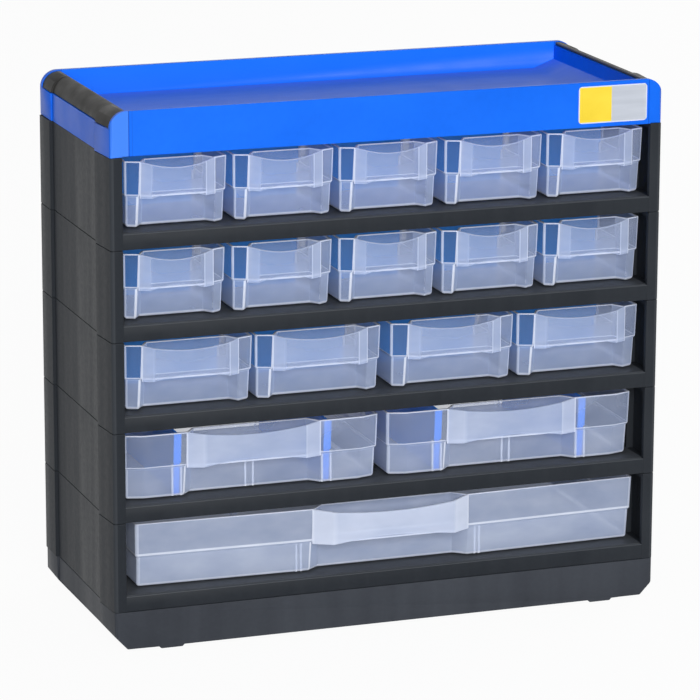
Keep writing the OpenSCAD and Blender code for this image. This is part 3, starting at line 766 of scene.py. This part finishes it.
def drawer_levels(row, height):
    """(draft, inset, z, line) of a drawer's wall from the floor up over the rim."""
    levels = [(FOOT, BOTTOM_R + LINE_W, 0, 0)]
    for a in quarter(5):
        edge = LINE_BOTTOM if LINE_TURN[0] < a < LINE_TURN[1] else LINE_SLOPE
        levels.append((FOOT, BOTTOM_R * (1 - sin(a)), BOTTOM_R * (1 - cos(a)), edge))
    slope = LOWER_H - LEDGE_H
    band = LOWER_H + LEDGE_BAND[row - 1]
    levels += [(FOOT, 0, BOTTOM_R + LINE_W, 0),
               (UNDER_LEDGE, 0, slope - LINE_W, 0), (UNDER_LEDGE, 0, slope, LINE_UNDER),
               (UNDER_LEDGE, -LEDGE_R, slope + LEDGE_R, LINE_SLOPE),
               (OVER_LEDGE, LEDGE_R, LOWER_H - LEDGE_DROP, LINE_SLOPE), (OVER_LEDGE, 0, LOWER_H, LINE_RIM),
               (OVER_LEDGE, 0, band, LINE_RIM), (OVER_LEDGE, 0, band + LINE_W, 0),
               (RIM, 0, height - RIM_R - LINE_W, 0)]
    for a in quarter(3):
        levels.append((RIM, RIM_R * (1 - cos(a)), height - RIM_R * (1 - sin(a)), LINE_RIM))
    for a in quarter(3):
        levels.append((RIM, WALL - RIM_R * (1 - sin(a)), height - RIM_R * (1 - cos(a)), LINE_RIM))
    levels.append((RIM, WALL, height - RIM_RETURN, LINE_INNER))
    return levels


def flat_haze(row, x, y, z, half_w, length):
    """Haze of a drawer's flat wall at a point of it."""
    if z == 0:
        return HAZE_FLOOR
    grip = GRIP[row - 1] / 2
    if y > length - FOOT[0] - REACH_END:
        return HAZE_REAR
    if abs(x) > half_w - FOOT[0] - REACH_SIDE and y > FOOT[1] + CORNER_BACK + REACH_END:
        return HAZE_SIDE
    cheek = grip - RECESS_RUN[row - 1] - RECESS_IN - REACH_CHEEK
    if cheek < abs(x) < grip and y < RECESS_D + FOOT[1] * RECESS_DRAFT:
        return HAZE_CHEEK
    if z < LOWER_H:
        return HAZE_LOWER[row - 1]
    if abs(x) < grip:
        return HAZE_RECESS[row - 1]
    return (HAZE_RIGHT if x > 0 else HAZE_UPPER)[row - 1]


def shell(shape, row, width, length, height):
    """The drawer's tub."""
    rings, tones = [], []
    for draft, inset, z, line in drawer_levels(row, height):
        ring = rounded(drawer_corners(row, width, length, draft), inset, beside=LINE_W)
        rings.append([(x, y, z) for x, y, _ in ring])
        tones += [max(line, corner if z > 0 else 0, flat_haze(row, x, y, z, width / 2, length))
                  for x, y, corner in ring]
    shape.loft(rings, tones, closed_first=True)


def arc_drop(x, half, depth):
    """How far an arc lies off its chord from -half to half, where it is deepest in the middle."""
    return depth * max(0.0, 1 - (x / half) ** 2)


def handle(shape, row, height):
    """The handle's plate with its rounded edges, and the web behind it with its front edge, which shows
    through the plate."""
    g, out, facet = GRIP[row - 1] / 2, HANDLE_OUT[row - 1], FACET_RUN[row - 1]
    bend, end, r = g - facet, g + HANDLE_LAP, HANDLE_R
    key = [Vector((-end, 0)), Vector((-bend, -out)), Vector((bend, -out)), Vector((end, 0))]
    beside = LINE_W / (2 * bend)
    path = [key[0].lerp(key[1], i / FACET_STEPS) for i in range(FACET_STEPS)]
    path += [key[1].lerp(key[2], t) for t in [i / PLATE_STEPS for i in range(PLATE_STEPS)] + [1 - beside, 1]]
    path += [key[2].lerp(key[3], i / FACET_STEPS) for i in range(1, FACET_STEPS + 1)]
    rings, tones, web_edge = [], [], []
    for i, p in enumerate(path):
        way = (path[min(i + 1, len(path) - 1)] - path[max(i - 1, 0)]).normalized()
        back = Vector((-way.y, way.x))
        rise = min(1.0, max(0.0, (abs(p.x) - bend) / facet))
        top = height - HANDLE_DROP * (1 - rise) - arc_drop(p.x, bend, HANDLE_SAG)
        low = LOWER_H - HANDLE_SKIRT + arc_drop(p.x, bend, HANDLE_ARCH)
        flat = (HAZE_FACET if abs(p.x) > bend - r else HAZE_PLATE)[row - 1]
        flat = LINE_BEND if abs(p.x - bend) < HAIR else flat
        flat = LINE_RECESS if abs(p.x) > g - HANDLE_END else flat
        profile = [(WALL, low + 2 * r, 0), (WALL, low + r, LINE_INNER), (WALL - r, low, LINE_SKIRT),
                   (r, low, LINE_TOP), (0, low + r, LINE_TOP), (0, low + r + LINE_W, 0),
                   (0, top - r - LINE_W, 0), (0, top - r, LINE_TOP), (r, top, LINE_TOP),
                   (WALL - r, top, LINE_TOP), (WALL, top - r, LINE_INNER), (WALL, top - 2 * r, 0)]
        rings.append([(p.x + back.x * d, p.y + back.y * d, z) for d, z, _ in profile])
        tones += [max(line, flat) for _, _, line in profile]
        under, over = LOWER_H + WEB_EDGE[0], LOWER_H + WEB_EDGE[1]
        near, far = WEB_SET, WALL - WEB_SET
        web_edge.append([(p.x + back.x * d, p.y + back.y * d, z)
                         for d, z in ((far, under), (near, under), (near, over), (far, over))])
    shape.loft(rings, tones, loop=False)
    shape.loft(web_edge, LINE_WEB, loop=False)
    inner, back_y = g - RECESS_RUN[row - 1], RECESS_D + WEB_BACK
    web = [(x, y, FINE_R) for x, y in ((-g, WEB_FRONT), (-bend, -out + HAIR), (bend, -out + HAIR),
                                       (g, WEB_FRONT), (inner, back_y), (-inner, back_y))]
    rings, tones = [], []
    for inset, line in ((0, LINE_WEB), (WEB_BAND, LINE_WEB), (WEB_BAND + LINE_W, LINE_INNER)):
        ring = rounded(web, inset, steps=2)
        rings.append([(x, y, LOWER_H + WEB_LIFT) for x, y, _ in ring])
        tones += [line] * len(ring)
    shape.loft(rings, tones, closed_last=True)


def slot_ribs(shape, row, width, length, height):
    """The ribs of the divider slots, which the single drawer has too, and the two bars behind each handle of
    row 4."""
    w = width / 2
    wall_x, front, rear = w - FOOT[0] - RIB_SET, FOOT[1] + RIB_SET_FRONT, length - FOOT[0] - RIB_SET
    half = DIVIDER_T / 2 + DIVIDER_GAP
    low, high = RIB_LOW, LOWER_H - LEDGE_DROP
    if row <= CROSS_ROWS:
        y = CROSS_AT * length
        for side in (-1, 1):
            for near in (y - half - RIB_T, y + half):
                for x, z0, z1 in ((wall_x, low, high), (w - RIB_SET_UPPER, high, height - RIB_TOP)):
                    x0, x1 = sorted((side * x, side * (x - RIB_T)))
                    shape.box((x0, near, z0), (x1, near + RIB_T, z1), HAZE_RIB)
        return
    if row == LONG_ROW:
        spots = [(s * (w - LONG_AT * width), FLANGE_W / 2 + DIVIDER_GAP) for s in (-1, 1)]
    else:
        spots = [(s * WIDE_SLOT * width, half) for s in (-1, 1)]
    for x, reach in spots:
        for near in (x - reach - RIB_T, x + reach):
            shape.box((near, front, low), (near + RIB_T, front + RIB_T, high), HAZE_RIB_FRONT)
            shape.box((near, rear - RIB_T, low), (near + RIB_T, rear, high), HAZE_RIB_REAR)
    if row == LONG_ROW:
        inner = RECESS_D + FOOT[1] * RECESS_DRAFT + RIB_SET
        for near in BARS_AT:
            shape.box((near, inner, low), (near + RIB_T, inner + RIB_T, high), HAZE_BAR)


def drawer_shape(row, width, length, height):
    """Everything that a drawer of this row is moulded with."""
    shape = Shape()
    shell(shape, row, width, length, height)
    handle(shape, row, height)
    slot_ribs(shape, row, width, length, height)
    for x in (-width / 3, width / 3):
        shape.box((x - SKID_W / 2, RECESS_D + SKID_ENDS[0], -SKID_H),
                  (x + SKID_W / 2, length - SKID_ENDS[1], -SKID_GAP), HAZE_SKID)
    return shape


def plate(shape, outline, y0, y1):
    """A plate with the given outline in x and z, from y0 to y1, its edges slightly rounded."""
    corners = [(x, z, FINE_R) for x, z in outline]
    rings = [[(x, y, z) for x, z, _ in rounded(corners, inset, steps=2)]
             for inset, y in ((EDGE_R, y0), (0, y0 + EDGE_R), (0, y1 - EDGE_R), (EDGE_R, y1))]
    shape.loft(rings, closed_first=True, closed_last=True)


def banded(reach, height):
    """One upright edge of a divider, from below, that follows a drawer's tapering bands. reach gives its
    place for a draft."""
    ledge = LOWER_H + DIVIDER_GAP + DIVIDER_BEND[0]
    return [(reach(FOOT), DIVIDER_LOW), (reach(UNDER_LEDGE), ledge),
            (reach(OVER_LEDGE), ledge + DIVIDER_BEND[1]), (reach(RIM), height - DIVIDER_TOP)]


def cross_divider(width, height):
    """A plate across a drawer."""
    right = banded(lambda draft: width / 2 - GROOVE_LEFT - draft[0], height)
    shape = Shape()
    plate(shape, right + [(-x, z) for x, z in reversed(right)], -DIVIDER_T / 2, DIVIDER_T / 2)
    return shape


def long_divider(length, height):
    """A plate along a drawer, with a flange at its front that leans with the drawer's front."""
    rear = banded(lambda draft: length - WALL - DIVIDER_GAP - draft[0], height)
    front = banded(lambda draft: WALL + DIVIDER_GAP + draft[1], height)
    flat = Shape()
    behind = [(y + DIVIDER_T / 2, z) for y, z in front]
    plate(flat, rear + list(reversed(behind)), -DIVIDER_T / 2, DIVIDER_T / 2)
    shape = Shape()
    shape.add([(-y, x, z) for x, y, z in flat.verts], flat.faces)
    rings = []
    for (y, z), half in zip(front, (FLANGE_W / 2, FLANGE_W / 2, FLANGE_TOP / 2, FLANGE_TOP / 2)):
        corners = [(side * half, at, FLANGE_R) for side, at in ((-1, y), (1, y), (1, y + DIVIDER_T),
                                                                (-1, y + DIVIDER_T))]
        rings.append([(x, fy, z) for x, fy, _ in rounded(corners, steps=2)])
    shape.loft(rings, closed_first=True, closed_last=True)
    return shape


def span_of(node):
    """A node's box in mm, as two corners."""
    low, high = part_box(node)
    return Vector(low) / MM, Vector(high) / MM


for row in range(1, LAST_ROW + 1):
    for col in range(1, ROWS[row - 1] + 1):
        node = f"drawer_{row}_{col}"
        low, high = span_of(node)
        width, height = high.x - low.x, high.z - low.z - SKID_H
        front = low.y + HANDLE_OUT[row - 1]
        length = high.y - front
        x, z = (low.x + high.x) / 2, low.z + SKID_H
        add_piece(node + "_bin", drawer_shape(row, width, length, height), node, DRAWER_CLEAR,
                  node, at=(x, front, z))
        if row <= CROSS_ROWS:
            add_piece(f"divider_{row}_{col}_plate", cross_divider(width, height), node,
                      CROSS_BLUE_PAINTED_SHADE, f"divider_{row}_{col}", at=(x, front + CROSS_AT * length, z))
        if row == LONG_ROW:
            for side, sign in (("left", -1), ("right", 1)):
                add_piece(f"divider_{row}_{col}_{side}_plate", long_divider(length, height), node,
                          LONG_BLUE, f"divider_{row}_{col}_{side}",
                          at=(x + sign * (0.5 - LONG_AT) * width, front, z))


# Studio ------------------------------------------------------------------------------

def make_camera():
    """The camera, fitted to the photo without a shift."""
    data = bpy.data.cameras.new("camera")
    data.lens, data.sensor_width = CAMERA_LENS, SENSOR
    camera = bpy.data.objects.new("camera", data)
    bpy.context.scene.collection.objects.link(camera)
    turn = Matrix.Rotation(CAMERA_YAW, 4, "Z") @ Matrix.Rotation(pi / 2 - CAMERA_PITCH, 4, "X")
    turn = turn @ Matrix.Rotation(CAMERA_ROLL, 4, "Z")
    camera.matrix_world = Matrix.Translation(Vector(CAMERA_AT) * MM) @ turn
    data.clip_start, data.clip_end = 0.1, 20
    bpy.context.scene.camera = camera


def make_lamp(name, at, size, power):
    """A square soft box that looks at the cabinet."""
    data = bpy.data.lights.new(name, "AREA")
    data.size, data.energy = size, power
    lamp = bpy.data.objects.new(name, data)
    bpy.context.scene.collection.objects.link(lamp)
    lamp.location = at
    lamp.rotation_euler = (Vector(LAMP_AIM) - Vector(at)).to_track_quat("-Z", "Y").to_euler()


def seen_directly(tree):
    """1 for rays that should meet a white background: camera, glossy and transmission rays."""
    rays = tree.nodes.new("ShaderNodeLightPath")
    first = tree.nodes.new("ShaderNodeMath")
    first.operation = "MAXIMUM"
    tree.links.new(rays.outputs["Is Camera Ray"], first.inputs[0])
    tree.links.new(rays.outputs["Is Glossy Ray"], first.inputs[1])
    second = tree.nodes.new("ShaderNodeMath")
    second.operation = "MAXIMUM"
    tree.links.new(first.outputs[0], second.inputs[0])
    tree.links.new(rays.outputs["Is Transmission Ray"], second.inputs[1])
    return second.outputs[0]


def make_world():
    """Soft light from all round, and a white background."""
    world = bpy.data.worlds.new("studio")
    bpy.context.scene.world = world
    world.use_nodes = True
    tree = world.node_tree
    soft = tree.nodes["Background"]
    soft.inputs["Color"].default_value = SKY
    soft.inputs["Strength"].default_value = SKY_STRENGTH
    white = tree.nodes.new("ShaderNodeBackground")
    white.inputs["Color"].default_value = WHITE
    white.inputs["Strength"].default_value = 1.0
    mix = tree.nodes.new("ShaderNodeMixShader")
    tree.links.new(seen_directly(tree), mix.inputs[0])
    tree.links.new(soft.outputs[0], mix.inputs[1])
    tree.links.new(white.outputs[0], mix.inputs[2])
    tree.links.new(mix.outputs[0], tree.nodes["World Output"].inputs["Surface"])


def make_floor():
    """A white floor that stays white to the camera and keeps a soft shadow."""
    mesh = bpy.data.meshes.new("floor")
    corners = [(x * FLOOR_REACH, y * FLOOR_REACH, 0) for x, y in ((-1, -1), (1, -1), (1, 1), (-1, 1))]
    mesh.from_pydata(corners, [], [(0, 1, 2, 3)])
    floor = bpy.data.objects.new("floor", mesh)
    bpy.context.scene.collection.objects.link(floor)
    material = bpy.data.materials.new("floor")
    material.use_nodes = True
    tree = material.node_tree
    lit = tree.nodes["Principled BSDF"]
    lit.inputs["Base Color"].default_value = FLOOR_GREY
    lit.inputs["Roughness"].default_value = FLOOR_ROUGHNESS
    glow = tree.nodes.new("ShaderNodeEmission")
    glow.inputs["Color"].default_value = WHITE
    glow.inputs["Strength"].default_value = 1.0
    share = tree.nodes.new("ShaderNodeMath")
    share.operation = "MULTIPLY"
    share.inputs[1].default_value = FLOOR_GLOW
    tree.links.new(seen_directly(tree), share.inputs[0])
    mix = tree.nodes.new("ShaderNodeMixShader")
    tree.links.new(share.outputs[0], mix.inputs[0])
    tree.links.new(lit.outputs[0], mix.inputs[1])
    tree.links.new(glow.outputs[0], mix.inputs[2])
    tree.links.new(mix.outputs[0], tree.nodes["Material Output"].inputs["Surface"])
    mesh.materials.append(material)


make_camera()
for lamp in LAMPS:
    make_lamp(*lamp)
make_world()
make_floor()

bpy.context.scene.view_settings.view_transform = "Standard"
